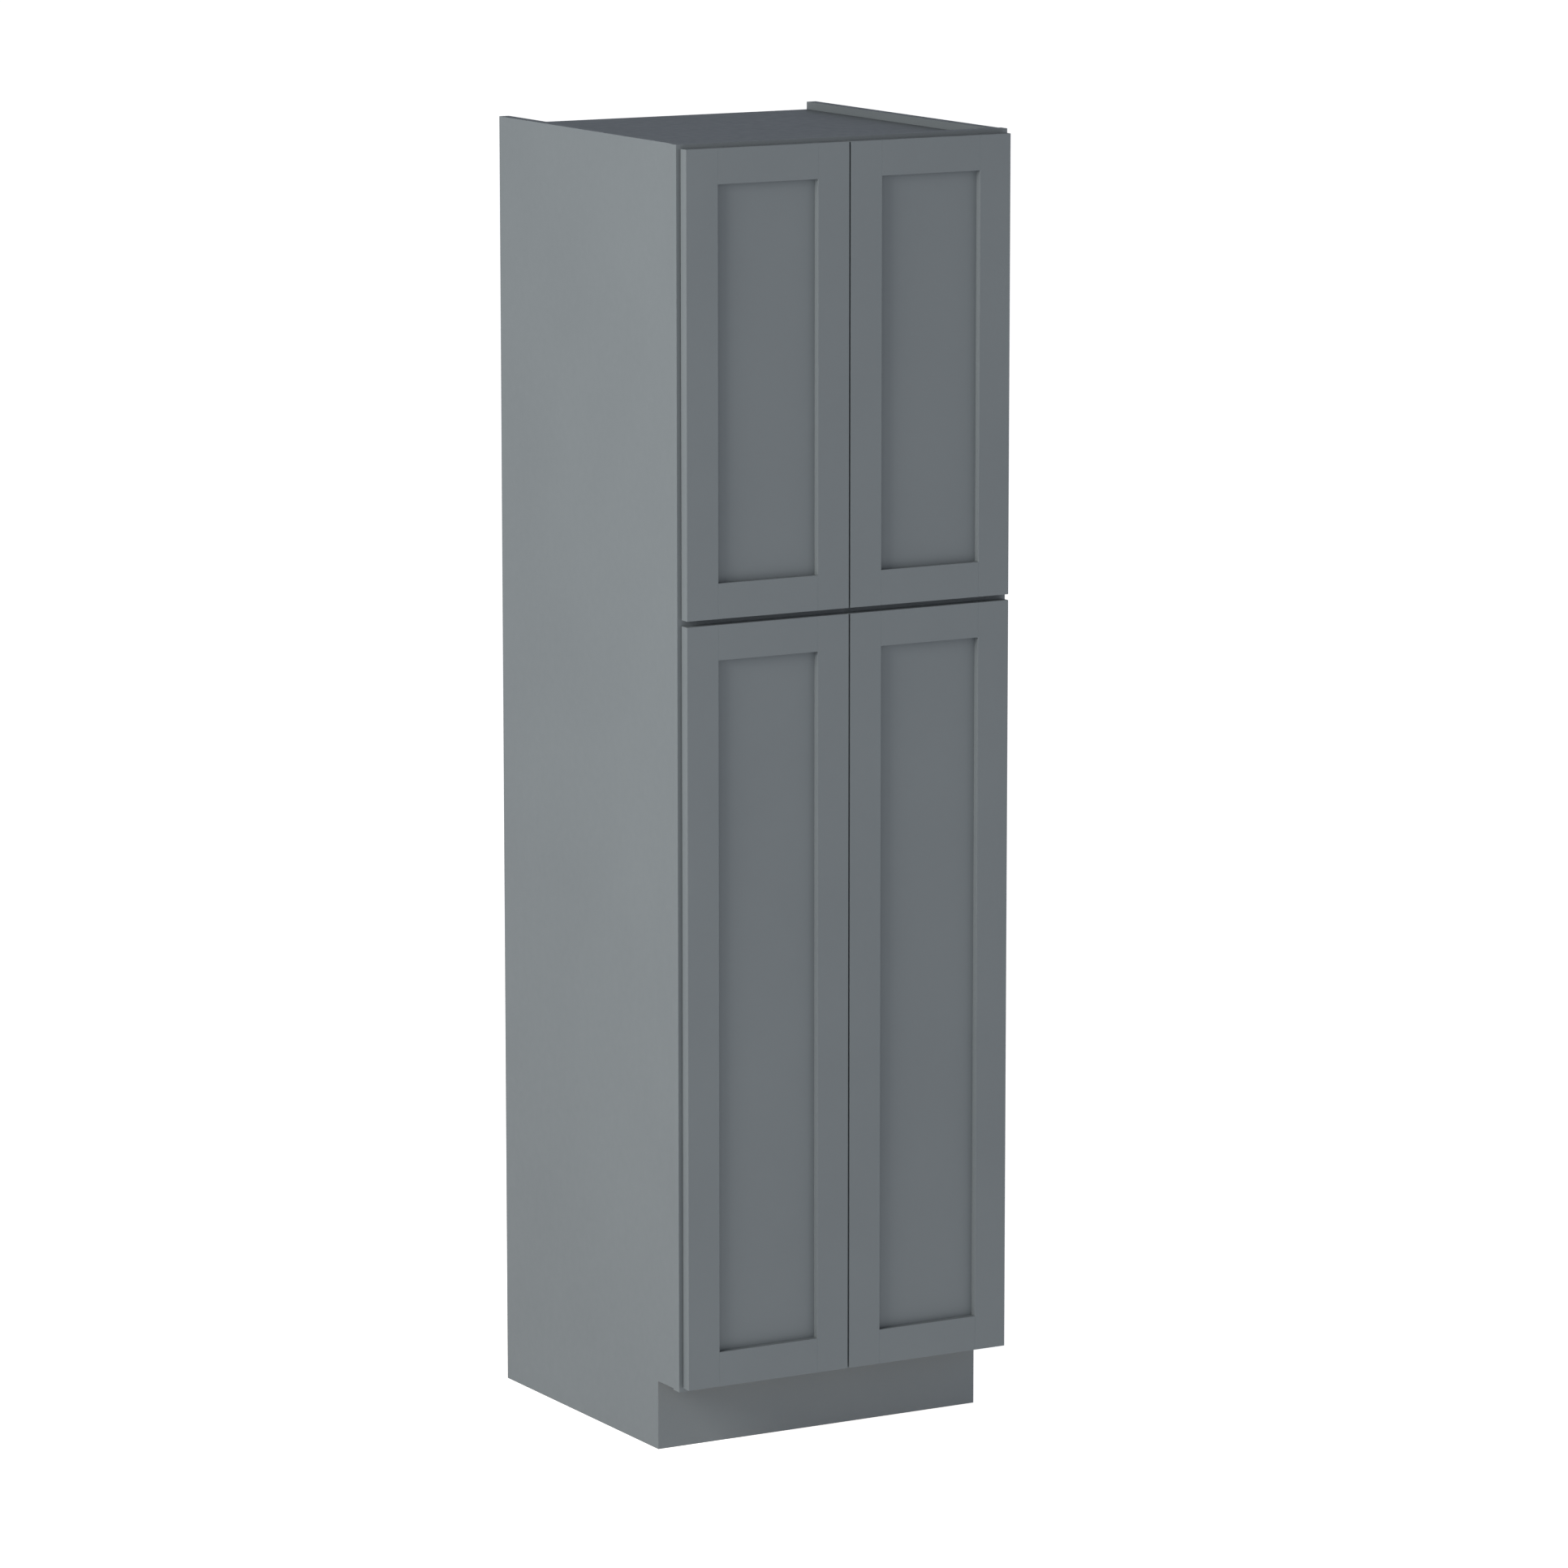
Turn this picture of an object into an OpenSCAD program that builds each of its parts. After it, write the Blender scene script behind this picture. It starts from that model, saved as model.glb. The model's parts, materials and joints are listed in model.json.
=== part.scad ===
// Tall framed pantry cabinet with four recessed-panel doors.
// Origin: middle of the overall footprint, on the floor. +Z is up and the doors face -Y.
// Modules are drawn with y = 0 at the front of the face frame and moved into place by at_face().

/* [Cabinet] */
// Width across the face frame
cabinet_w = 609.6; // [560:0.1:680]
// Height from the floor to the top of the face frame
cabinet_h = 2133.6; // [2100:0.1:2250]
// Depth from the front of the face frame to the back edge of the sides
case_d = 609.6; // [500:0.1:650]
// Thickness of the side panels, bottom panel and shelves
board_t = 18; // [16:0.5:19]
// Thickness of the top panel
top_t = 12.7; // [12:0.1:18]
// How far the top panel lies below the top of the sides
top_drop = 12.7; // [6:0.1:20]
// Thickness of the back panel
back_t = 6.35; // [4:0.05:9]
// Thickness of the hanging rails behind the back panel
hanging_t = 19.05; // [12:0.05:19.05]
// Height of each hanging rail
hanging_h = 101.6; // [70:0.1:120]
// Depth of the grooves that hold the panels in the sides
housing_d = 6; // [4:0.5:7]

/* [Face frame] */
// Thickness of the face frame
frame_t = 19.05; // [18:0.05:22]
// Width of the frame's stiles and rails
frame_w = 38.1; // [36:0.1:45]
// How far the frame stands out past each side panel
frame_lip = 4.8; // [2:0.1:8]
// Length of the rail tenons
frame_tenon_l = 12; // [8:0.5:12]
// Thickness of the rail tenons
frame_tenon_t = 8; // [5:0.5:8]

/* [Toe kick] */
// Height of the toe space
toe_h = 114.3; // [90:0.1:120]
// Distance from the front of the face frame back to the toe-kick skin
toe_recess = 79.4; // [60:0.1:90]
// Thickness of the skin
toe_skin_t = 3.2; // [3:0.1:6]
// Thickness of the board behind the skin
toe_board_t = 15; // [12:0.5:18]

/* [Doors] */
// Door thickness
door_t = 18; // [18:0.5:20]
// Gap between the closed doors and the face frame
door_gap = 3; // [3:0.1:3.5]
// Face frame showing around the outside of the doors
door_reveal = 6.35; // [5.5:0.05:7]
// Gap between the left and right doors
centre_gap = 3.2; // [3:0.1:5]
// Gap between the upper and lower doors
middle_gap = 9.5; // [6:0.1:12]
// Height of the upper doors
upper_door_h = 749.3; // [600:0.1:900]
// Width of the door stiles and rails
door_frame_w = 57.15; // [54:0.05:70]
// Depth of the door panel behind the door's front
panel_recess = 11.5; // [8:0.1:11.5]
// Thickness of the door panel
door_panel_t = 4.5; // [4:0.1:4.8]
// Depth of the groove around the door frame
groove_d = 9.5; // [8:0.1:12]

/* [Shelves] */
// Number of adjustable shelves behind the upper doors
upper_shelves = 2; // [1:1:2]
// Number of adjustable shelves behind the lower doors
lower_shelves = 3; // [1:1:3]
// Shelf pin radius
pin_r = 2.5; // [2.4:0.05:2.5]
// Distance between pin holes
pin_pitch = 32; // [25:1:40]

/* [Hinges] */
// Depth of the hinge cup below the back of the door
cup_d = 12.4; // [12.2:0.1:12.6]
// Distance from each end of a door to its first hinge
hinge_end = 95; // [80:1:120]

/* [Hidden] */
$fn = 48;
// How far a cutting shape runs past the face it cuts, and a tenon back into its rail
over = 1;
TIERS = ["upper", "lower"];
SIDES = ["left", "right"];

// Overall place of the case
face_y = (door_gap + door_t - case_d) / 2;
case_half = cabinet_w / 2 - frame_lip;
inner_half = case_half - board_t;
opening_half = cabinet_w / 2 - frame_w;
side_front = frame_t - housing_d;
toe_back = toe_recess + toe_skin_t;

// Heights of the fixed parts
top_z = cabinet_h - top_drop - top_t;
deck_z = toe_h + frame_w;
back_y = case_d - hanging_t - back_t;

// Doors
door_back = -door_gap;
door_front = -door_gap - door_t;
door_out = cabinet_w / 2 - door_reveal;
door_in = centre_gap / 2;
upper_z1 = cabinet_h - door_reveal;
upper_z0 = upper_z1 - upper_door_h;
lower_z1 = upper_z0 - middle_gap;
lower_z0 = toe_h + door_reveal;
middle_z = (upper_z0 + lower_z1) / 2;
fixed_z = middle_z + frame_w / 2 - board_t;
tenon_play = 0.2;
panel_play = 1.5;

// Shelves
shelf_play = 1.5;
shelf_front_gap = 5;
shelf_back_gap = 2;
shelf_front = frame_t + shelf_front_gap;
shelf_back = back_y - shelf_back_gap;
upper_bay = (top_z - fixed_z - board_t) / (upper_shelves + 1);
lower_bay = (fixed_z - deck_z) / (lower_shelves + 1);
upper_shelf_z = [for (i = [1:upper_shelves]) fixed_z + board_t + i * upper_bay];
lower_shelf_z = [for (i = [1:lower_shelves]) deck_z + i * lower_bay];
shelf_z = concat(upper_shelf_z, lower_shelf_z);
shelf_names = concat(
    [for (i = [1:upper_shelves]) str("upper_shelf_", i)],
    [for (i = [1:lower_shelves]) str("lower_shelf_", i)]
);
pin_inset = 50;
pin_columns = [frame_t + pin_inset, back_y - pin_inset];
pin_hole_d = 10;
pin_hole_play = 0.05;
pin_end_play = 1;
pin_drop = 8;
pin_plate_t = 1.5;
pin_plate_w = 12;
pin_plate_h = 15;
pin_ledge = 11;
pin_rows = 2;

// Hinges: u is measured from the door's outer edge towards the middle of the cabinet
cup_r = 17.5;
cup_edge = 3;
cup_wall = 0.8;
cup_floor_t = 0.7;
cup_play = 0.05;
cup_u = cup_edge + cup_r;
rim_t = 1;
rim_over = 1.1;
rim_r = cup_r + rim_over;
wing_offset = 9.5;
wing_u = cup_u + wing_offset;
wing_z = 22.5;
wing_r = 6.5;
hinge_u = 7.2;
hinge_depth = 8.8;
hinge_y = door_back - hinge_depth;
hinge_pin_r = 1.25;
hinge_pin_play = 0.02;
hinge_pin_end_play = 0.2;
hinge_bore_r = 1.3;
eye_r = 2.25;
arm_t = 1.6;
arm_half_h = 5;
arm_plate_half_h = 18;
arm_plate_edge = 0.8;
arm_u = frame_w - door_reveal;
boss_gap = 0.5;
boss_h = 3.1;
boss_overlap = 2;
boss_below_rim = 5;
pin_half_l = 8;
screw_r = 1.75;
screw_play = 0.05;
screw_end_play = 0.5;
screw_tip_l = 3;
screw_tip_r = 0.4;
screw_head_r = 3.3;
screw_head_t = 0.8;
slot_l = 4;
slot_w = 0.7;
slot_d = 0.5;
cup_screw_l = 11;
arm_screw_l = 16;
arm_screw_z = 11;
bumper_r = 4.5;
bumper_gap = 0.4;
bumper_t = door_gap - bumper_gap;
bumper_inset = 14;

// Colours
paint = [0.43, 0.46, 0.48];
ply = [0.80, 0.67, 0.50];
steel = [0.75, 0.75, 0.77];
clear = [0.88, 0.90, 0.92];

DOOR_PARTS = [
    "outer_stile", "inner_stile", "top_rail", "bottom_rail",
    "panel", "hinge_cups", "cup_screws", "bumpers"
];

// ---- helpers ----

function door_z0(tier) = tier == "upper" ? upper_z0 : lower_z0;
function door_z1(tier) = tier == "upper" ? upper_z1 : lower_z1;

// Upper doors hang on two hinges, lower doors on three
function hinge_heights(tier) =
    let (low = door_z0(tier) + hinge_end, high = door_z1(tier) - hinge_end)
    tier == "upper" ? [low, high] : [low, (low + high) / 2, high];

module at_face() {
    translate([0, face_y, 0])
        children();
}

// Children are drawn for the right-hand side
module on_side(side) {
    if (side == "left")
        mirror([1, 0, 0])
            children();
    else
        children();
}

// A box given by its low and high corners
module box(low, high) {
    translate(low)
        cube(high - low);
}

module cylinder_x(r, l) {
    rotate([0, 90, 0])
        cylinder(r = r, h = l);
}

module cylinder_y(r, l) {
    rotate([-90, 0, 0])
        cylinder(r = r, h = l);
}

// Pan-head screw driven along +Z, with the head's underside at z = 0
module screw(l) {
    shank_l = l - screw_tip_l;
    cylinder(r = screw_r, h = shank_l);
    translate([0, 0, shank_l])
        cylinder(r1 = screw_r, r2 = screw_tip_r, h = screw_tip_l);
    difference() {
        translate([0, 0, -screw_head_t])
            cylinder(r = screw_head_r, h = screw_head_t);
        for (a = [0, 90])
            rotate(a)
                translate([-slot_l / 2, -slot_w / 2, -screw_head_t - over])
                    cube([slot_l, slot_w, slot_d + over]);
    }
}

// ---- case ----

// Groove in the right-hand side panel for another panel's edge
module housing(y0, y1, z0, z1) {
    box([inner_half - over, y0, z0], [inner_half + housing_d, y1, z1]);
}

// One side panel: toe notch, grooves for the other panels and rows of shelf-pin holes
module side_panel(side) {
    color(paint)
        at_face()
            on_side(side)
                difference() {
                    box([inner_half, side_front, 0], [case_half, case_d, cabinet_h]);
                    box([inner_half - over, side_front - over, -over], [case_half + over, toe_back, toe_h]);
                    housing(frame_t, case_d + over, top_z, top_z + top_t);
                    housing(frame_t, case_d + over, deck_z - board_t, deck_z);
                    housing(frame_t, case_d + over, fixed_z, fixed_z + board_t);
                    housing(back_y, back_y + back_t, deck_z - over, top_z + over);
                    for (z = shelf_z, row = [-pin_rows:pin_rows], y = pin_columns)
                        translate([inner_half - over, y, z - pin_drop + row * pin_pitch])
                            cylinder_x(pin_r + pin_hole_play, pin_hole_d + over);
                }
}

// A level board held in the grooves of both sides
module housed_board(z0, t, y1) {
    half = inner_half + housing_d;
    color(ply)
        at_face()
            box([-half, frame_t, z0], [half, y1, z0 + t]);
}

module top_panel() {
    housed_board(top_z, top_t, case_d);
}

module bottom_panel() {
    housed_board(deck_z - board_t, board_t, case_d);
}

module fixed_shelf() {
    housed_board(fixed_z, board_t, back_y);
}

module back_panel() {
    half = inner_half + housing_d;
    color(ply)
        at_face()
            box([-half, back_y, deck_z], [half, back_y + back_t, top_z]);
}

module hanging_rail(z0) {
    color(ply)
        at_face()
            box([-inner_half, back_y + back_t, z0], [inner_half, case_d, z0 + hanging_h]);
}

module hanging_rail_top() {
    hanging_rail(top_z - hanging_h);
}

module hanging_rail_middle() {
    hanging_rail(middle_z - hanging_h / 2);
}

module hanging_rail_bottom() {
    hanging_rail(deck_z);
}

module toe_kick_board() {
    color(ply)
        at_face()
            box([-inner_half, toe_back, 0], [inner_half, toe_back + toe_board_t, deck_z - board_t]);
}

module toe_kick_skin() {
    color(paint)
        at_face()
            box([-case_half, toe_recess, 0], [case_half, toe_back, toe_h]);
}

// ---- face frame ----

// Low corners of the top, middle and bottom rails
frame_rail_z = [cabinet_h - frame_w, middle_z - frame_w / 2, toe_h];

// Tenon or its mortise on the right-hand end of a rail
module frame_tenon(z0, play) {
    inset = 5;
    y0 = (frame_t - housing_d - frame_tenon_t) / 2;
    box(
        [opening_half - over, y0, z0 + inset],
        [opening_half + frame_tenon_l + play, y0 + frame_tenon_t, z0 + frame_w - inset]
    );
}

module face_stile(side) {
    color(paint)
        at_face()
            on_side(side)
                difference() {
                    box([opening_half, 0, toe_h], [cabinet_w / 2, frame_t, cabinet_h]);
                    box(
                        [inner_half, side_front, toe_h - over],
                        [case_half, frame_t + over, cabinet_h + over]
                    );
                    for (z0 = frame_rail_z)
                        frame_tenon(z0, tenon_play);
                    for (tier = TIERS, z = hinge_heights(tier), s = [-1, 1])
                        translate([opening_half - over, frame_t / 2, z + s * arm_screw_z])
                            cylinder_x(screw_r + screw_play, arm_screw_l + screw_end_play + over);
                }
}

module face_rail(z0) {
    color(paint)
        at_face() {
            box([-opening_half, 0, z0], [opening_half, frame_t, z0 + frame_w]);
            for (side = SIDES)
                on_side(side)
                    frame_tenon(z0, 0);
        }
}

module face_rail_top() {
    face_rail(frame_rail_z[0]);
}

module face_rail_middle() {
    face_rail(frame_rail_z[1]);
}

module face_rail_bottom() {
    face_rail(frame_rail_z[2]);
}

// ---- shelves ----

module shelf(z) {
    half = inner_half - shelf_play;
    color(ply)
        at_face()
            box([-half, shelf_front, z], [half, shelf_back, z + board_t]);
}

// Metal shelf pin on the right-hand side: peg, upright plate and ledge
module shelf_pin() {
    translate([inner_half - pin_plate_t, 0, 0])
        cylinder_x(pin_r, pin_plate_t + pin_hole_d - pin_end_play);
    difference() {
        box(
            [inner_half - pin_ledge, -pin_plate_w / 2, pin_drop - pin_plate_h],
            [inner_half, pin_plate_w / 2, pin_drop]
        );
        box(
            [inner_half - pin_ledge - over, -pin_plate_w, pin_drop - pin_plate_h - over],
            [inner_half - pin_plate_t, pin_plate_w, pin_drop - pin_plate_t]
        );
    }
}

module shelf_pins() {
    color(steel)
        at_face()
            for (side = SIDES, z = shelf_z, y = pin_columns)
                on_side(side)
                    translate([0, y, z - pin_drop])
                        shelf_pin();
}

// ---- hinges ----

// Children are drawn with x = u, the distance in from the door's outer edge, and z = 0 at the hinge
module at_hinge(side, z) {
    at_face()
        on_side(side)
            translate([door_out, 0, z])
                mirror([1, 0, 0])
                    children();
}

// Cup with its rim, screw wings and the two bosses that carry the hinge pin
module hinge_cup() {
    bore_half_l = pin_half_l + hinge_pin_end_play;
    difference() {
        union() {
            translate([cup_u, door_back, 0])
                cup_body();
            hinge_bosses();
        }
        translate([hinge_u, hinge_y, -bore_half_l])
            cylinder(r = hinge_pin_r + hinge_pin_play, h = 2 * bore_half_l);
    }
}

module cup_body() {
    difference() {
        union() {
            translate([0, -cup_d, 0])
                cylinder_y(cup_r, cup_d);
            cylinder_y(rim_r, rim_t);
            translate([wing_u - cup_u - wing_r, 0, -wing_z])
                cube([2 * wing_r, rim_t, 2 * wing_z]);
            for (s = [-1, 1])
                translate([wing_u - cup_u, 0, s * wing_z])
                    cylinder_y(wing_r, rim_t);
        }
        translate([0, cup_floor_t - cup_d, 0])
            cylinder_y(cup_r - cup_wall, cup_d + rim_t);
        for (s = [-1, 1])
            translate([wing_u - cup_u, -over, s * wing_z])
                cylinder_y(screw_r + screw_play, rim_t + 2 * over);
    }
}

module hinge_bosses() {
    boss_u = hinge_u - eye_r - boss_overlap;
    boss_w = 2 * eye_r + boss_overlap;
    boss_z = arm_half_h + boss_gap + boss_h / 2;
    intersection() {
        translate([cup_u, door_back - cup_d, 0])
            cylinder_y(cup_r - cup_wall / 2, cup_d);
        for (s = [-1, 1])
            translate([boss_u, door_back - cup_d, s * boss_z - boss_h / 2])
                cube([boss_w, cup_d - boss_below_rim, boss_h]);
    }
}

module hinge_pin() {
    translate([hinge_u, hinge_y, -pin_half_l])
        cylinder(r = hinge_pin_r, h = 2 * pin_half_l);
}

// Arm: an eye on the pin, a strip along the cup's floor, and a riser to the plate on the frame's edge
module hinge_arm() {
    strip_y = hinge_y - eye_r;
    difference() {
        union() {
            translate([hinge_u, hinge_y, -arm_half_h])
                cylinder(r = eye_r, h = 2 * arm_half_h);
            box([hinge_u, strip_y, -arm_half_h], [arm_u + arm_t, strip_y + arm_t, arm_half_h]);
            box([arm_u, strip_y, -arm_half_h], [arm_u + arm_t, frame_t - arm_plate_edge, arm_half_h]);
            box(
                [arm_u, arm_plate_edge, -arm_plate_half_h],
                [arm_u + arm_t, frame_t - arm_plate_edge, arm_plate_half_h]
            );
        }
        translate([hinge_u, hinge_y, -arm_half_h - over])
            cylinder(r = hinge_bore_r, h = 2 * (arm_half_h + over));
        for (s = [-1, 1])
            translate([arm_u - over, frame_t / 2, s * arm_screw_z])
                cylinder_x(screw_r + screw_play, arm_t + 2 * over);
    }
}

module hinge_arms(tier, side) {
    color(steel)
        for (z = hinge_heights(tier))
            at_hinge(side, z)
                hinge_arm();
}

module hinge_arm_screws() {
    color(steel)
        for (side = SIDES, tier = TIERS, z = hinge_heights(tier), s = [-1, 1])
            at_hinge(side, z)
                translate([arm_u + arm_t, frame_t / 2, s * arm_screw_z])
                    rotate([0, -90, 0])
                        screw(arm_screw_l);
}

// ---- doors ----

// Groove for the door panel, as wide as the panel
module panel_groove(low_x, low_z, high_x, high_z) {
    y0 = door_front + panel_recess;
    box([low_x, y0, low_z], [high_x, y0 + door_panel_t, high_z]);
}

module outer_stile(tier, side) {
    x0 = door_out - door_frame_w;
    z0 = door_z0(tier);
    z1 = door_z1(tier);
    color(paint)
        difference() {
            at_face()
                on_side(side)
                    difference() {
                        box([x0, door_front, z0], [door_out, door_back, z1]);
                        panel_groove(x0 - over, z0 - over, x0 + groove_d, z1 + over);
                    }
            for (z = hinge_heights(tier))
                at_hinge(side, z) {
                    translate([cup_u, door_back - cup_d - cup_play, 0])
                        cylinder_y(cup_r + cup_play, cup_d + over);
                    for (s = [-1, 1])
                        translate([wing_u, door_back - cup_screw_l, s * wing_z])
                            cylinder_y(screw_r + screw_play, cup_screw_l + over);
                }
        }
}

module inner_stile(tier, side) {
    x1 = door_in + door_frame_w;
    z0 = door_z0(tier);
    z1 = door_z1(tier);
    color(paint)
        at_face()
            on_side(side)
                difference() {
                    box([door_in, door_front, z0], [x1, door_back, z1]);
                    panel_groove(x1 - groove_d, z0 - over, x1 + over, z1 + over);
                }
}

// A door rail between z0 and z1, with its groove along the edge nearest the door's middle
module door_rail(side, z0, z1, groove_z0, groove_z1) {
    x0 = door_in + door_frame_w;
    x1 = door_out - door_frame_w;
    tenon = groove_d - tenon_play;
    color(paint)
        at_face()
            on_side(side)
                difference() {
                    union() {
                        box([x0, door_front, z0], [x1, door_back, z1]);
                        panel_groove(x0 - tenon, z0, x1 + tenon, z1);
                    }
                    panel_groove(x0 - groove_d, groove_z0, x1 + groove_d, groove_z1);
                }
}

module top_rail(tier, side) {
    z1 = door_z1(tier);
    z0 = z1 - door_frame_w;
    door_rail(side, z0, z1, z0 - over, z0 + groove_d);
}

module bottom_rail(tier, side) {
    z0 = door_z0(tier);
    z1 = z0 + door_frame_w;
    door_rail(side, z0, z1, z1 - groove_d, z1 + over);
}

module panel(tier, side) {
    edge = door_frame_w - groove_d + panel_play;
    color(paint)
        at_face()
            on_side(side)
                panel_groove(door_in + edge, door_z0(tier) + edge, door_out - edge, door_z1(tier) - edge);
}

module hinge_cups(tier, side) {
    color(steel)
        for (z = hinge_heights(tier))
            at_hinge(side, z) {
                hinge_cup();
                hinge_pin();
            }
}

module cup_screws(tier, side) {
    color(steel)
        for (z = hinge_heights(tier), s = [-1, 1])
            at_hinge(side, z)
                translate([wing_u, door_back + rim_t, s * wing_z])
                    rotate([90, 0, 0])
                        screw(cup_screw_l);
}

// Two bumpers near the free corners of a door
module bumpers(tier, side) {
    color(clear)
        at_face()
            on_side(side)
                for (z = [door_z0(tier) + bumper_inset, door_z1(tier) - bumper_inset])
                    translate([door_in + bumper_inset, door_back, z])
                        cylinder_y(bumper_r, bumper_t);
}

module door_part(tier, side, part) {
    if (part == "outer_stile") outer_stile(tier, side);
    if (part == "inner_stile") inner_stile(tier, side);
    if (part == "top_rail") top_rail(tier, side);
    if (part == "bottom_rail") bottom_rail(tier, side);
    if (part == "panel") panel(tier, side);
    if (part == "hinge_cups") hinge_cups(tier, side);
    if (part == "cup_screws") cup_screws(tier, side);
    if (part == "bumpers") bumpers(tier, side);
}

// ---- what is drawn ----

side_panel("left");  // side_panel_left
side_panel("right");  // side_panel_right
top_panel();
bottom_panel();
fixed_shelf();
back_panel();
hanging_rail_top();
hanging_rail_middle();
hanging_rail_bottom();
face_stile("left");  // face_stile_left
face_stile("right");  // face_stile_right
face_rail_top();
face_rail_middle();
face_rail_bottom();
toe_kick_board();
toe_kick_skin();
shelf_pins();
hinge_arm_screws();
for (i = [0:len(shelf_names) - 1])
    shelf(shelf_z[i]);
for (tier = TIERS, side = SIDES)
    hinge_arms(tier, side);
for (tier = TIERS, side = SIDES, part = DOOR_PARTS)
    door_part(tier, side, part);
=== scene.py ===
"""Looks for the tall pantry cabinet: camera, light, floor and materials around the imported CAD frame."""
import json
import math

import bmesh
import bpy
from mathutils import Euler, Matrix, Vector


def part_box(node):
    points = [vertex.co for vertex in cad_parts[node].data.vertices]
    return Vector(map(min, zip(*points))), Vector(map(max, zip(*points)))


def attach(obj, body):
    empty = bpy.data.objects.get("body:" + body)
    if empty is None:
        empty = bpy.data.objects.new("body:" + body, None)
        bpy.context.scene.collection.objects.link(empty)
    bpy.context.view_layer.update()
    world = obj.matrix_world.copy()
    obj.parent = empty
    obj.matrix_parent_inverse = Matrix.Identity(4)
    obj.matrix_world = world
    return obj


MM = 0.001
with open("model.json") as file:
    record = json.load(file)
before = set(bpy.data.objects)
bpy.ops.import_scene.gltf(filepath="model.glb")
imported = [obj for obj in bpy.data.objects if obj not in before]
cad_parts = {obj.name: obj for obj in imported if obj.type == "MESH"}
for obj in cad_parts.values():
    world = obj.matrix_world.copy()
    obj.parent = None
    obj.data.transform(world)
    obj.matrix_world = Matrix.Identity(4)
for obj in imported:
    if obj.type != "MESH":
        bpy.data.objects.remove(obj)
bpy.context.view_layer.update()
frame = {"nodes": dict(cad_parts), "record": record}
nodes = frame["nodes"]
scene = bpy.context.scene


# ---------------------------------------------------------------- camera

# Angles are in degrees, the lens and sensor in millimetres, and places and lengths in metres.
CAMERA_YAW = 29.7
CAMERA_PITCH = 10.0
CAMERA_LENS = 169.7
CAMERA_SENSOR = 36
CAMERA_PLACE = (-5.909, -10.462, 3.161)
CAMERA_REACH = 100


def make_camera():
    """A long lens to the front left of the cabinet, looking slightly down."""
    data = bpy.data.cameras.new("camera")
    data.lens = CAMERA_LENS
    data.sensor_width = CAMERA_SENSOR
    data.clip_end = CAMERA_REACH
    camera = bpy.data.objects.new("camera", data)
    camera.location = CAMERA_PLACE
    camera.rotation_euler = Euler((math.radians(90 - CAMERA_PITCH), 0, math.radians(-CAMERA_YAW)))
    scene.collection.objects.link(camera)
    scene.camera = camera


# ---------------------------------------------------------------- node helpers

class Graph:
    """A short way to add and link shader nodes."""

    def __init__(self, tree):
        self.tree = tree

    def add(self, kind, **settings):
        node = self.tree.nodes.new(kind)
        for name, value in settings.items():
            setattr(node, name, value)
        return node

    def link(self, source, target):
        self.tree.links.new(source, target)

    def put(self, socket, value):
        """Feeds an input with another node's output, a colour of three parts or a number."""
        if isinstance(value, bpy.types.NodeSocket):
            self.link(value, socket)
        elif isinstance(value, tuple):
            socket.default_value = (*value, 1)
        else:
            socket.default_value = value

    def coordinates(self, kind="Object"):
        return self.add("ShaderNodeTexCoord").outputs[kind]

    def split(self, vector):
        """The X, Y and Z outputs of a vector."""
        node = self.add("ShaderNodeSeparateXYZ")
        self.link(vector, node.inputs[0])
        return node.outputs

    def math(self, operation, a, b=0.0, clamp=False):
        node = self.add("ShaderNodeMath", operation=operation, use_clamp=clamp)
        self.put(node.inputs[0], a)
        self.put(node.inputs[1], b)
        return node.outputs[0]

    def map_range(self, value, old, new):
        """Takes a value from one range, low and high, to another."""
        node = self.add("ShaderNodeMapRange")
        self.put(node.inputs["Value"], value)
        for name, number in zip(("From Min", "From Max", "To Min", "To Max"), (*old, *new)):
            self.put(node.inputs[name], number)
        return node.outputs[0]

    def noise(self, vector, scale, detail=3.0, roughness=0.5, distortion=0.0):
        node = self.add("ShaderNodeTexNoise")
        self.link(vector, node.inputs["Vector"])
        node.inputs["Scale"].default_value = scale
        node.inputs["Detail"].default_value = detail
        node.inputs["Roughness"].default_value = roughness
        node.inputs["Distortion"].default_value = distortion
        return node.outputs["Fac"]

    def grain_noise(self, vector, grain, lengthwise, crosswise, **settings):
        """Noise stretched along the grain axis, with one scale along the grain and another across it."""
        mapping = self.add("ShaderNodeMapping")
        self.link(vector, mapping.inputs["Vector"])
        scales = [lengthwise if axis == grain else crosswise for axis in "XYZ"]
        mapping.inputs["Scale"].default_value = scales
        return self.noise(mapping.outputs[0], scale=1.0, **settings)

    def ramp(self, value, stops):
        node = self.add("ShaderNodeValToRGB")
        self.link(value, node.inputs[0])
        elements = node.color_ramp.elements
        while len(elements) < len(stops):
            elements.new(0.5)
        for element, (place, colour) in zip(elements, stops):
            element.position = place
            element.color = (*colour, 1)
        return node.outputs[0]

    def mix(self, factor, a, b, blend="MIX"):
        """Mixes two colours."""
        node = self.add("ShaderNodeMix", data_type="RGBA", blend_type=blend)
        for index, value in ((0, factor), (6, a), (7, b)):
            self.put(node.inputs[index], value)
        return node.outputs[2]

    def mix_numbers(self, factor, a, b):
        node = self.add("ShaderNodeMix", data_type="FLOAT")
        for index, value in ((0, factor), (2, a), (3, b)):
            self.put(node.inputs[index], value)
        return node.outputs[0]

    def bump(self, height, strength, distance):
        node = self.add("ShaderNodeBump")
        self.link(height, node.inputs["Height"])
        node.inputs["Strength"].default_value = strength
        node.inputs["Distance"].default_value = distance
        return node.outputs[0]


def new_material(name):
    """A material with an empty Principled shader. Returns the material, its graph and its shader."""
    material = bpy.data.materials.new(name)
    material.use_nodes = True
    shader = material.node_tree.nodes["Principled BSDF"]
    return material, Graph(material.node_tree), shader


# ---------------------------------------------------------------- surface layers

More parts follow.
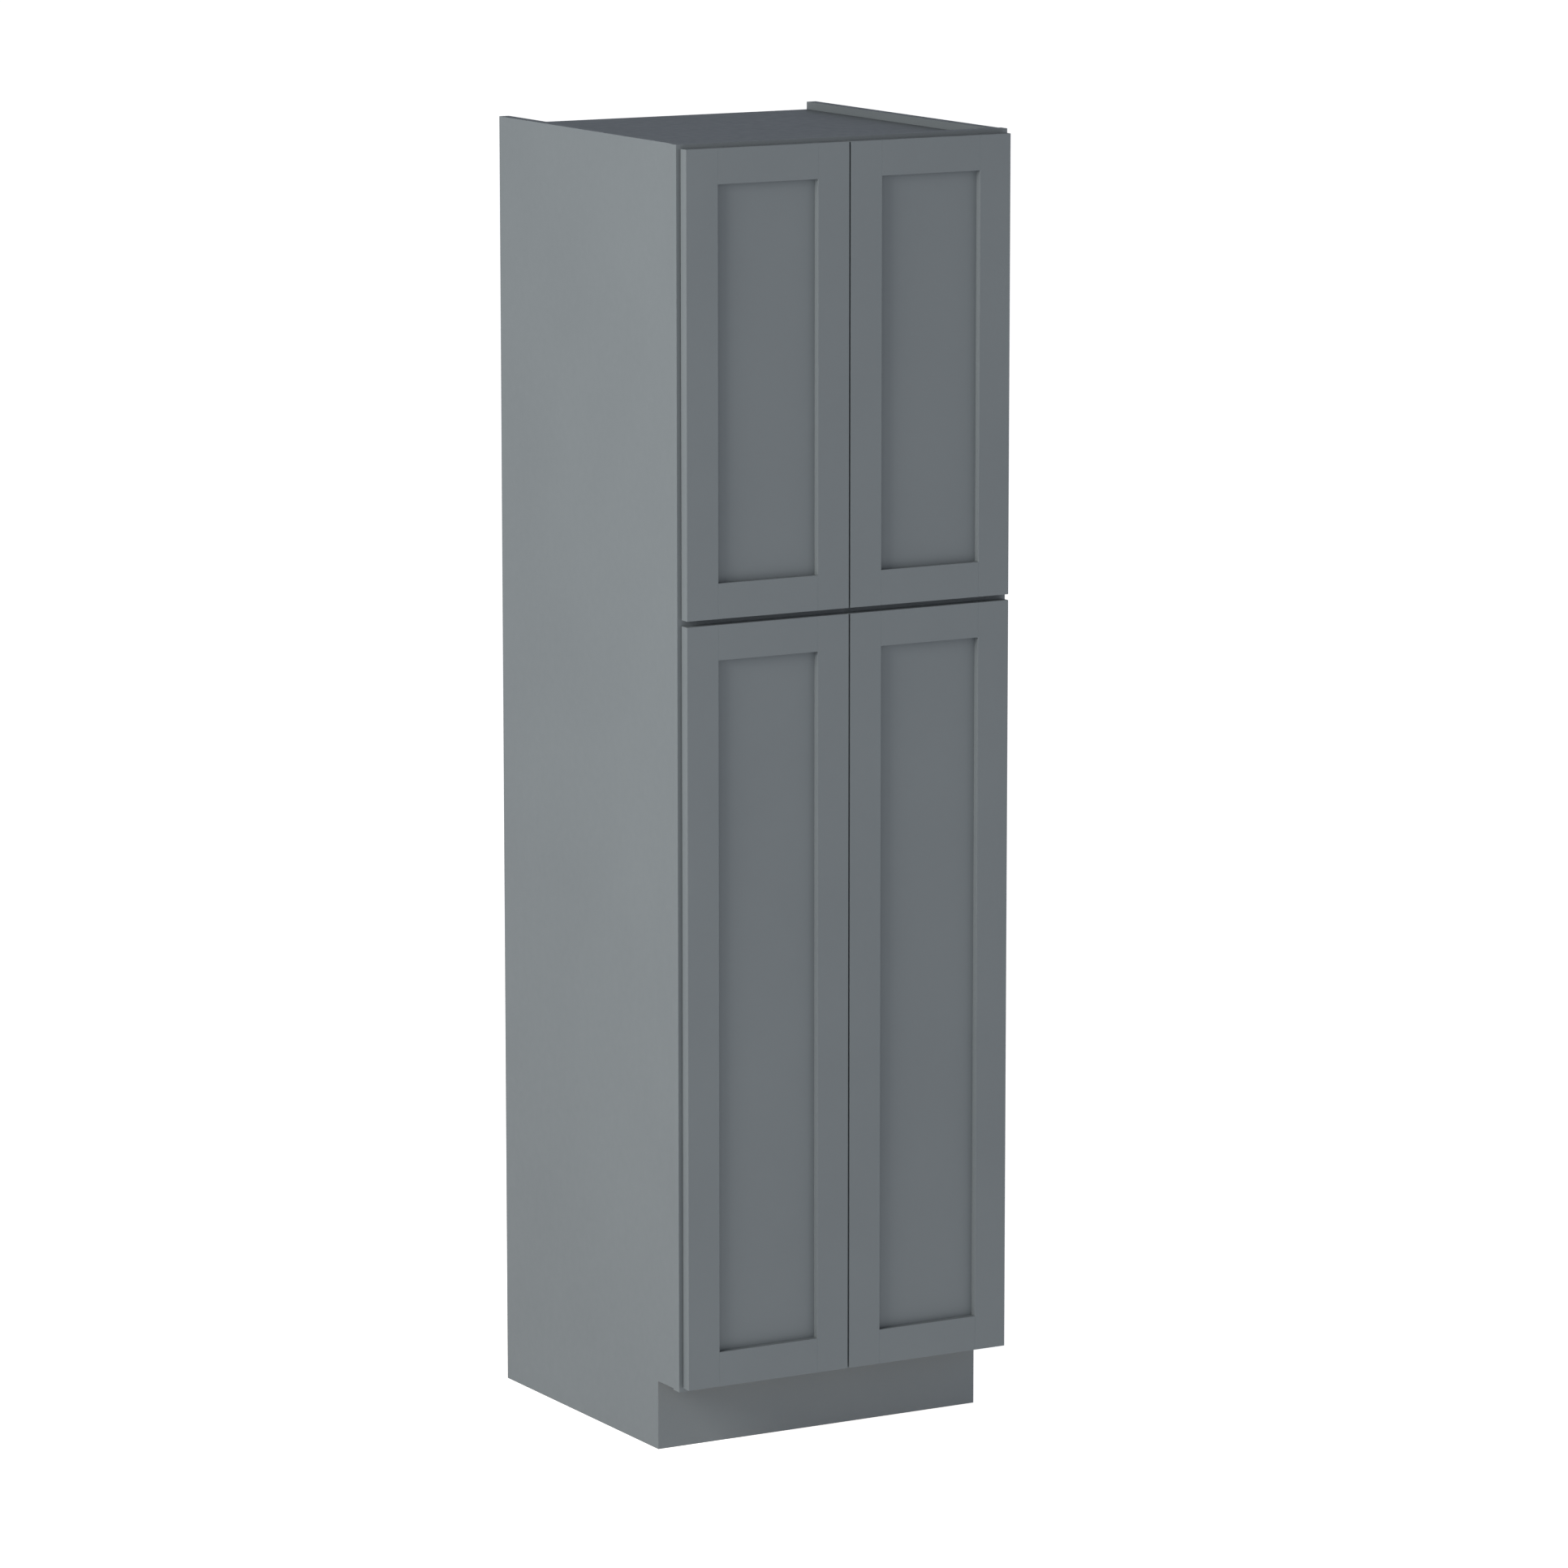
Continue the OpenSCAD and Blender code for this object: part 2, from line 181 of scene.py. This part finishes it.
# The noises' scales are in cells per metre. Most values of a noise lie in the noise range.
NOISE_RANGE = (0.3, 0.7)

PAINT = (0.138, 0.157, 0.172)
PAINT_LIGHT = (0.145, 0.165, 0.180)
PAINT_ROUGHNESS = (0.46, 0.54)

VENEER_PALE = (0.80, 0.61, 0.40)
VENEER_MID = (0.73, 0.53, 0.33)
VENEER_DARK = (0.60, 0.41, 0.24)
VENEER_ROUGHNESS = (0.42, 0.34)
VENEER_RINGS = 60.0
SEED_STEP = (1.7, 2.3, 3.1)

PLY_PALE = (0.70, 0.52, 0.33)
PLY_DARK = (0.45, 0.29, 0.16)
PLY_GLUE = (0.14, 0.075, 0.035)
PLY_ROUGHNESS = (0.75, 0.6)
PLY_THICKNESS = 1.5 * MM
# A pale and a dark ply, each behind a thin line of glue. The places are shares of the two plies' thickness.
PLY_PAIR = (
    (0.0, PLY_GLUE),
    (0.06, PLY_PALE),
    (0.46, PLY_PALE),
    (0.5, PLY_GLUE),
    (0.56, PLY_DARK),
    (0.96, PLY_DARK),
)

COATING_BUMP = 0.25
COATING_RELIEF = 0.06 * MM
COATING_SPECULAR = 0.2


def paint_layers(graph, where):
    """Colour, roughness and height of satin sprayed paint."""
    cloud = graph.noise(where, scale=3.0, detail=4.0, roughness=0.6)
    colour = graph.ramp(cloud, ((0.3, PAINT), (0.7, PAINT_LIGHT)))
    sheen = graph.noise(where, scale=60.0, detail=4.0, roughness=0.6)
    roughness = graph.map_range(sheen, NOISE_RANGE, PAINT_ROUGHNESS)
    height = graph.noise(where, scale=650.0, detail=2.0, roughness=0.5)
    return colour, roughness, height


def veneer_layers(graph, where, grain, seed):
    """Colour, roughness and height of lacquered pale veneer with its grain along one axis."""
    shifted = graph.add("ShaderNodeVectorMath", operation="ADD")
    graph.link(where, shifted.inputs[0])
    shifted.inputs[1].default_value = [seed * step for step in SEED_STEP]
    place = shifted.outputs[0]
    figure = graph.grain_noise(place, grain, 0.9, 7.0, detail=3.0, roughness=0.5, distortion=0.8)
    rings = graph.math("SINE", graph.math("MULTIPLY", figure, VENEER_RINGS))
    rings = graph.map_range(rings, (-1.0, 1.0), (0.0, 1.0))
    colour = graph.ramp(rings, ((0.0, VENEER_MID), (0.55, VENEER_PALE), (1.0, VENEER_PALE)))
    drift = graph.grain_noise(place, grain, 0.5, 2.5, detail=3.0, roughness=0.5)
    colour = graph.mix(graph.map_range(drift, (0.45, 0.75), (0.0, 0.5)), colour, VENEER_MID)
    fibres = graph.grain_noise(place, grain, 14.0, 900.0, detail=3.0, roughness=0.6)
    colour = graph.mix(graph.map_range(fibres, (0.35, 0.65), (0.28, 0.0)), colour, VENEER_DARK)
    flecks = graph.grain_noise(place, grain, 60.0, 1600.0, detail=1.0, roughness=0.5)
    colour = graph.mix(graph.map_range(flecks, (0.68, 0.74), (0.0, 0.5)), colour, VENEER_DARK)
    roughness = graph.map_range(fibres, NOISE_RANGE, VENEER_ROUGHNESS)
    return colour, roughness, fibres


def ply_edge_layers(graph, where, across):
    """Colour, roughness and height of a cut plywood edge, whose plies are stacked along one axis."""
    wave = graph.noise(where, scale=30.0, detail=2.0, roughness=0.5)
    wobble = graph.math("MULTIPLY", wave, 0.5 * PLY_THICKNESS)
    place = graph.math("ADD", graph.split(where)[across], wobble)
    share = graph.math("FRACT", graph.math("DIVIDE", place, 2 * PLY_THICKNESS))
    colour = graph.ramp(share, PLY_PAIR)
    fibres = graph.noise(where, scale=1400.0, detail=3.0, roughness=0.6)
    colour = graph.mix(graph.map_range(fibres, (0.35, 0.7), (0.35, 0.0)), colour, PLY_DARK)
    roughness = graph.map_range(fibres, NOISE_RANGE, PLY_ROUGHNESS)
    return colour, roughness, fibres


def choose(graph, mask, first, second):
    """Layers of the second surface where the mask is 1, and of the first elsewhere."""
    colour = graph.mix(mask, first[0], second[0])
    numbers = [graph.mix_numbers(mask, a, b) for a, b in zip(first[1:], second[1:])]
    return (colour, *numbers)


def finish_surface(graph, shader, layers, strength, distance):
    """Gives a shader its colour, its roughness and the relief of its height."""
    colour, roughness, height = layers
    graph.link(colour, shader.inputs["Base Color"])
    graph.link(roughness, shader.inputs["Roughness"])
    graph.link(graph.bump(height, strength, distance), shader.inputs["Normal"])


def finish_coating(graph, shader, layers):
    """Finishes paint or lacquer, which has a faint relief and little gloss."""
    finish_surface(graph, shader, layers, COATING_BUMP, COATING_RELIEF)
    shader.inputs["Specular IOR Level"].default_value = COATING_SPECULAR


# ---------------------------------------------------------------- paint, metal and bumpers

NICKEL = (0.70, 0.69, 0.67)
NICKEL_ROUGHNESS = 0.34
ZINC = (0.62, 0.63, 0.64)
ZINC_ROUGHNESS = 0.40
METAL_SHADE = 0.82
METAL_BUMP = 0.15
METAL_RELIEF = 0.02 * MM

BUMPER = (0.80, 0.83, 0.85)
BUMPER_LIGHT = (0.88, 0.90, 0.92)
BUMPER_ROUGHNESS = (0.15, 0.3)
BUMPER_CLEARNESS = 0.6
BUMPER_IOR = 1.45


def paint_material():
    material, graph, shader = new_material("satin_paint")
    finish_coating(graph, shader, paint_layers(graph, graph.coordinates()))
    return material


def metal_material(name, colour, roughness):
    """Plated steel with fine marks and a slightly uneven tone."""
    material, graph, shader = new_material(name)
    where = graph.coordinates()
    cloud = graph.noise(where, scale=90.0, detail=4.0, roughness=0.6)
    shade = tuple(METAL_SHADE * part for part in colour)
    tone = graph.ramp(cloud, ((0.35, shade), (0.6, colour)))
    marks = graph.noise(where, scale=500.0, detail=3.0, roughness=0.6)
    uneven = graph.map_range(marks, NOISE_RANGE, (0.8 * roughness, 1.3 * roughness))
    finish_surface(graph, shader, (tone, uneven, marks), METAL_BUMP, METAL_RELIEF)
    shader.inputs["Metallic"].default_value = 1.0
    return material


def bumper_material():
    """Clear soft plastic with a slight haze."""
    material, graph, shader = new_material("clear_polyurethane")
    haze = graph.noise(graph.coordinates(), scale=300.0, detail=3.0, roughness=0.6)
    tone = graph.ramp(haze, ((0.3, BUMPER), (0.7, BUMPER_LIGHT)))
    graph.link(tone, shader.inputs["Base Color"])
    graph.link(graph.map_range(haze, NOISE_RANGE, BUMPER_ROUGHNESS), shader.inputs["Roughness"])
    shader.inputs["Transmission Weight"].default_value = BUMPER_CLEARNESS
    shader.inputs["IOR"].default_value = BUMPER_IOR
    return material


# ---------------------------------------------------------------- boards

# A surface faces an axis where more than this share of its normal lies along it.
VENEER_FACING = 0.7
COAT_FACING = 0.5
# The sides' paint begins this far below the top panel's upper face.
PAINT_LAP = 0.2 * MM


def board_material(name, grain, across, seed, painted=None, banded=None):
    """Plywood with veneer on both faces and bare plies on its edges.

    The masks painted and banded say where paint covers it and where veneer covers its edges.
    """
    material, graph, shader = new_material(name)
    where = graph.coordinates()
    facing = graph.split(graph.coordinates("Normal"))
    place = graph.split(where)
    veneered = graph.math("GREATER_THAN", graph.math("ABSOLUTE", facing[across]), VENEER_FACING)
    if banded:
        veneered = graph.math("MAXIMUM", veneered, banded(graph, facing, place))
    edge = ply_edge_layers(graph, where, across)
    layers = choose(graph, veneered, edge, veneer_layers(graph, where, grain, seed))
    if painted:
        layers = choose(graph, painted(graph, facing, place), layers, paint_layers(graph, where))
    finish_coating(graph, shader, layers)
    return material


def side_panel_paint(sign):
    """Mask of a side panel's painted parts: its outside, its top edge and the strip above the top panel."""
    above_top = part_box("top_panel")[1][2] - PAINT_LAP

    def mask(graph, facing, place):
        outside = graph.math("GREATER_THAN", graph.math("MULTIPLY", facing["X"], sign), COAT_FACING)
        high = graph.math("GREATER_THAN", place["Z"], above_top)
        return graph.math("MAXIMUM", outside, high)

    return mask


def facing_up(graph, facing, place):
    return graph.math("GREATER_THAN", facing["Z"], COAT_FACING)


def facing_front(graph, facing, place):
    return graph.math("LESS_THAN", facing["Y"], -COAT_FACING)


def board_materials():
    """One plywood material for each board, so that no two show the same figure."""
    boards = {
        "side_panel_left": board_material("ply_side_left", "Z", "X", 1, painted=side_panel_paint(-1)),
        "side_panel_right": board_material("ply_side_right", "Z", "X", 2, painted=side_panel_paint(1)),
        "top_panel": board_material("ply_top", "X", "Z", 3, painted=facing_up),
        "bottom_panel": board_material("ply_bottom", "X", "Z", 4),
        "fixed_shelf": board_material("ply_fixed_shelf", "X", "Z", 5),
        "back_panel": board_material("ply_back", "Z", "Y", 6),
        "toe_kick_board": board_material("ply_toe_board", "X", "Y", 7),
    }
    rails = ("hanging_rail_top", "hanging_rail_middle", "hanging_rail_bottom")
    for seed, name in enumerate(rails, start=8):
        boards[name] = board_material("ply_" + name, "X", "Y", seed)
    shelves = sorted(name for name in nodes if "_shelf_" in name)
    for seed, name in enumerate(shelves, start=12):
        boards[name] = board_material("ply_" + name, "X", "Z", seed, banded=facing_front)
    return boards


# ---------------------------------------------------------------- CAD nodes

EDGE_BY_SLOT = {
    "cabinet_paint": 0.30 * MM,
    "interior_ply": 0.30 * MM,
    "bumper_clear": 0.50 * MM,
    "hinge_steel": 0.10 * MM,
    "pin_steel": 0.12 * MM,
    "screw_steel": 0.05 * MM,
}
EDGE_SEGMENTS = 3
WELD_DISTANCE = 0.002 * MM
FLAT_ANGLE = math.radians(0.5)
SHARP_ANGLE = math.radians(30)


def ease_edges(node, width):
    """Rounds a node's sharp edges slightly.

    The vertices are welded first, because each face comes in on its own, and flat neighbours are joined.
    """
    weld = node.modifiers.new("weld", "WELD")
    weld.merge_threshold = WELD_DISTANCE
    flat = node.modifiers.new("flat_faces", "DECIMATE")
    flat.decimate_type = "DISSOLVE"
    flat.angle_limit = FLAT_ANGLE
    bevel = node.modifiers.new("eased_edges", "BEVEL")
    bevel.width = width
    bevel.segments = EDGE_SEGMENTS
    bevel.limit_method = "ANGLE"
    bevel.angle_limit = SHARP_ANGLE
    bevel.use_clamp_overlap = False
    bevel.harden_normals = True


def dress_nodes(nickel):
    """Gives each CAD node its material and slightly eased edges."""
    by_slot = {
        "cabinet_paint": paint_material(),
        "hinge_steel": nickel,
        "pin_steel": nickel,
        "screw_steel": metal_material("zinc_plate", ZINC, ZINC_ROUGHNESS),
        "bumper_clear": bumper_material(),
    }
    boards = board_materials()
    slots = {part["node"]: part["material_slot"] for part in frame["record"]["subparts"]}
    for name, node in nodes.items():
        node.data.materials.clear()
        node.data.materials.append(boards[name] if name in boards else by_slot[slots[name]])
        ease_edges(node, EDGE_BY_SLOT[slots[name]])


# ---------------------------------------------------------------- hinge cams

CAM_RADIUS = 3.4 * MM
CAM_HEIGHT = 1.3 * MM
CAM_ROUND = 0.4 * MM
CAM_SLOT_HALF_LENGTH = 2.1 * MM
CAM_SLOT_HALF_WIDTH = 0.45 * MM
CAM_SLOT_DEPTH = 0.8 * MM
CAM_SIDES = 40
ROUND_STEPS = 5


def ring(mesh, points):
    """Adds a closed ring of points. Returns its vertices and its edges."""
    vertices = [mesh.verts.new(point) for point in points]
    edges = [mesh.edges.new((a, b)) for a, b in zip(vertices, vertices[1:] + vertices[:1])]
    return vertices, edges


def wall(mesh, upper, lower):
    """Faces between two rings of equal length."""
    count = len(upper)
    for i in range(count):
        j = (i + 1) % count
        mesh.faces.new((upper[i], upper[j], lower[j], lower[i]))


def circle(radius, height):
    angles = [2 * math.pi * i / CAM_SIDES for i in range(CAM_SIDES)]
    return [(radius * math.cos(a), radius * math.sin(a), height) for a in angles]


def cross(height):
    """Outline of a cross recess."""
    length, width = CAM_SLOT_HALF_LENGTH, CAM_SLOT_HALF_WIDTH
    corner = [(length, width), (width, width), (width, length)]
    turns = [Matrix.Rotation(math.radians(90 * i), 2) for i in range(4)]
    return [(*(turn @ Vector(point)), height) for turn in turns for point in corner]


def cam_mesh():
    """Round head with a rounded rim and a cross recess, standing on z = 0."""
    mesh = bmesh.new()
    rim, rim_edges = ring(mesh, circle(CAM_RADIUS - CAM_ROUND, CAM_HEIGHT))
    slot, slot_edges = ring(mesh, cross(CAM_HEIGHT))
    bmesh.ops.triangle_fill(mesh, edges=rim_edges + slot_edges, use_beauty=True)
    floor, _ = ring(mesh, cross(CAM_HEIGHT - CAM_SLOT_DEPTH))
    wall(mesh, slot, floor)
    mesh.faces.new(floor)
    for step in range(1, ROUND_STEPS + 1):
        turn = math.radians(90 * step / ROUND_STEPS)
        radius = CAM_RADIUS - CAM_ROUND * (1 - math.sin(turn))
        lower, _ = ring(mesh, circle(radius, CAM_HEIGHT - CAM_ROUND * (1 - math.cos(turn))))
        wall(mesh, rim, lower)
        rim = lower
    base, _ = ring(mesh, circle(CAM_RADIUS, 0.0))
    wall(mesh, rim, base)
    mesh.faces.new(base)
    bmesh.ops.recalc_face_normals(mesh, faces=mesh.faces)
    return mesh


def islands(node):
    """Low and high corners of each separate solid in a CAD node."""
    mesh = bmesh.new()
    mesh.from_mesh(node.data)
    bmesh.ops.remove_doubles(mesh, verts=mesh.verts, dist=WELD_DISTANCE)
    boxes = []
    left = set(mesh.verts)
    while left:
        group = {left.pop()}
        frontier = list(group)
        while frontier:
            near = {edge.other_vert(vertex) for vertex in frontier for edge in vertex.link_edges}
            frontier = list(near - group)
            group |= near
        left -= group
        corners = [[pick(vertex.co[i] for vertex in group) for i in range(3)] for pick in (min, max)]
        boxes.append([Vector(corner) for corner in corners])
    mesh.free()
    return boxes


def beside(screw, low, high):
    """True for a screw on the same side of the cabinet, and at the same height, as a hinge's arm."""
    middle = (screw[0] + screw[1]) / 2
    same_side = (middle.x > 0) == (low.x > 0)
    return same_side and low.z < middle.z < high.z


def make_hinge_cams(material):
    """An adjusting cam at the middle of each hinge's plate, between the plate's two screws."""
    head = cam_mesh()
    heads = bpy.data.meshes.new("cam_head")
    head.to_mesh(heads)
    head.free()
    cams = bmesh.new()
    screws = islands(nodes["hinge_arm_screws"])
    for tier in ("upper", "lower"):
        for side, sign in (("left", 1), ("right", -1)):
            for low, high in islands(nodes[f"{tier}_{side}_hinge_arms"]):
                face = high.x if sign > 0 else low.x
                pair = [screw for screw in screws if beside(screw, low, high)]
                middle = sum((a + b for a, b in pair), Vector()) / (2 * len(pair))
                place = Matrix.Translation((face, middle.y, middle.z))
                turn = Matrix.Rotation(math.radians(90 * sign), 4, "Y")
                count = len(cams.verts)
                cams.from_mesh(heads)
                bmesh.ops.transform(cams, matrix=place @ turn, verts=cams.verts[count:])
    mesh = bpy.data.meshes.new("hinge_cams")
    cams.to_mesh(mesh)
    cams.free()
    bpy.data.meshes.remove(heads)
    mesh.materials.append(material)
    piece = bpy.data.objects.new("hinge_cams", mesh)
    scene.collection.objects.link(piece)
    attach(piece, "cabinet")


# ---------------------------------------------------------------- floor

FLOOR_REACH = 60
FLOOR_GREY = (0.80, 0.80, 0.80)
FLOOR_PALE = (0.83, 0.83, 0.83)
FLOOR_LIGHT = 0.55
FLOOR_WHITE = 0.85
FLOOR_ROUGHNESS = 0.9
FLOOR_SPECULAR = 0.1


def make_floor():
    """A pale floor that the camera sees as white. Its own glow also lights the cabinet softly from below."""
    mesh = bpy.data.meshes.new("floor")
    corners = [(FLOOR_REACH * x, FLOOR_REACH * y, 0) for x, y in ((-1, -1), (1, -1), (1, 1), (-1, 1))]
    mesh.from_pydata(corners, [], [(0, 1, 2, 3)])
    floor = bpy.data.objects.new("floor", mesh)
    scene.collection.objects.link(floor)
    material, graph, shader = new_material("pale_floor")
    cloud = graph.noise(graph.coordinates(), scale=1.5, detail=3.0, roughness=0.5)
    tone = graph.ramp(cloud, ((0.3, FLOOR_GREY), (0.7, FLOOR_PALE)))
    graph.link(tone, shader.inputs["Base Color"])
    shader.inputs["Roughness"].default_value = FLOOR_ROUGHNESS
    shader.inputs["Specular IOR Level"].default_value = FLOOR_SPECULAR
    shader.inputs["Emission Color"].default_value = (1, 1, 1, 1)
    seen = graph.add("ShaderNodeLightPath").outputs["Is Camera Ray"]
    glow = graph.map_range(seen, (0.0, 1.0), (FLOOR_LIGHT, FLOOR_WHITE))
    graph.link(glow, shader.inputs["Emission Strength"])
    mesh.materials.append(material)


# ---------------------------------------------------------------- light

SKY_FRONT = (0.95, 0.96, 0.99)
SKY_BACK = (0.22, 0.27, 0.38)
SKY_RIGHT = (0.50, 0.50, 0.52)
SKY_TOP = (0.15, 0.15, 0.15)
BACKDROP = (0.97, 0.97, 0.97)

SOFTBOX_PLACE = (-5.0, -1.5, 3.2)
SOFTBOX_TARGET = (0, 0, 1.2)
SOFTBOX_SIZE = 2.5
SOFTBOX_POWER = 280
SOFTBOX_COLOUR = (1.0, 0.965, 0.89)


def make_world():
    """A soft studio, brightest in front and dim overhead. The camera sees it as a plain pale backdrop."""
    world = bpy.data.worlds.new("studio")
    world.use_nodes = True
    scene.world = world
    graph = Graph(world.node_tree)
    shader = world.node_tree.nodes["Background"]
    direction = graph.split(graph.coordinates("Generated"))
    light = (0.0, 0.0, 0.0)
    for axis, sign, colour in (("Y", -1, SKY_FRONT), ("Y", 1, SKY_BACK), ("X", 1, SKY_RIGHT)):
        lobe = graph.math("MULTIPLY", direction[axis], sign, clamp=True)
        light = graph.mix(lobe, light, colour, "ADD")
    lowness = graph.math("SUBTRACT", 1.0, direction["Z"], clamp=True)
    light = graph.mix(1.0, light, lowness, "MULTIPLY")
    overhead = graph.math("MULTIPLY", direction["Z"], 1.0, clamp=True)
    light = graph.mix(overhead, light, SKY_TOP, "ADD")
    seen = graph.add("ShaderNodeLightPath").outputs["Is Camera Ray"]
    graph.link(graph.mix(seen, light, BACKDROP), shader.inputs["Color"])


def make_softbox():
    """A large, slightly warm light to the left of the cabinet."""
    data = bpy.data.lights.new("left_softbox", "AREA")
    data.shape = "SQUARE"
    data.size = SOFTBOX_SIZE
    data.energy = SOFTBOX_POWER
    data.color = SOFTBOX_COLOUR
    light = bpy.data.objects.new("left_softbox", data)
    light.location = SOFTBOX_PLACE
    aim = Vector(SOFTBOX_TARGET) - Vector(SOFTBOX_PLACE)
    light.rotation_euler = aim.to_track_quat("-Z", "Y").to_euler()
    scene.collection.objects.link(light)


# ---------------------------------------------------------------- scene

scene.view_settings.view_transform = "Standard"
make_camera()
make_floor()
make_world()
make_softbox()
hinge_nickel = metal_material("nickel_plate", NICKEL, NICKEL_ROUGHNESS)
dress_nodes(hinge_nickel)
make_hinge_cams(hinge_nickel)
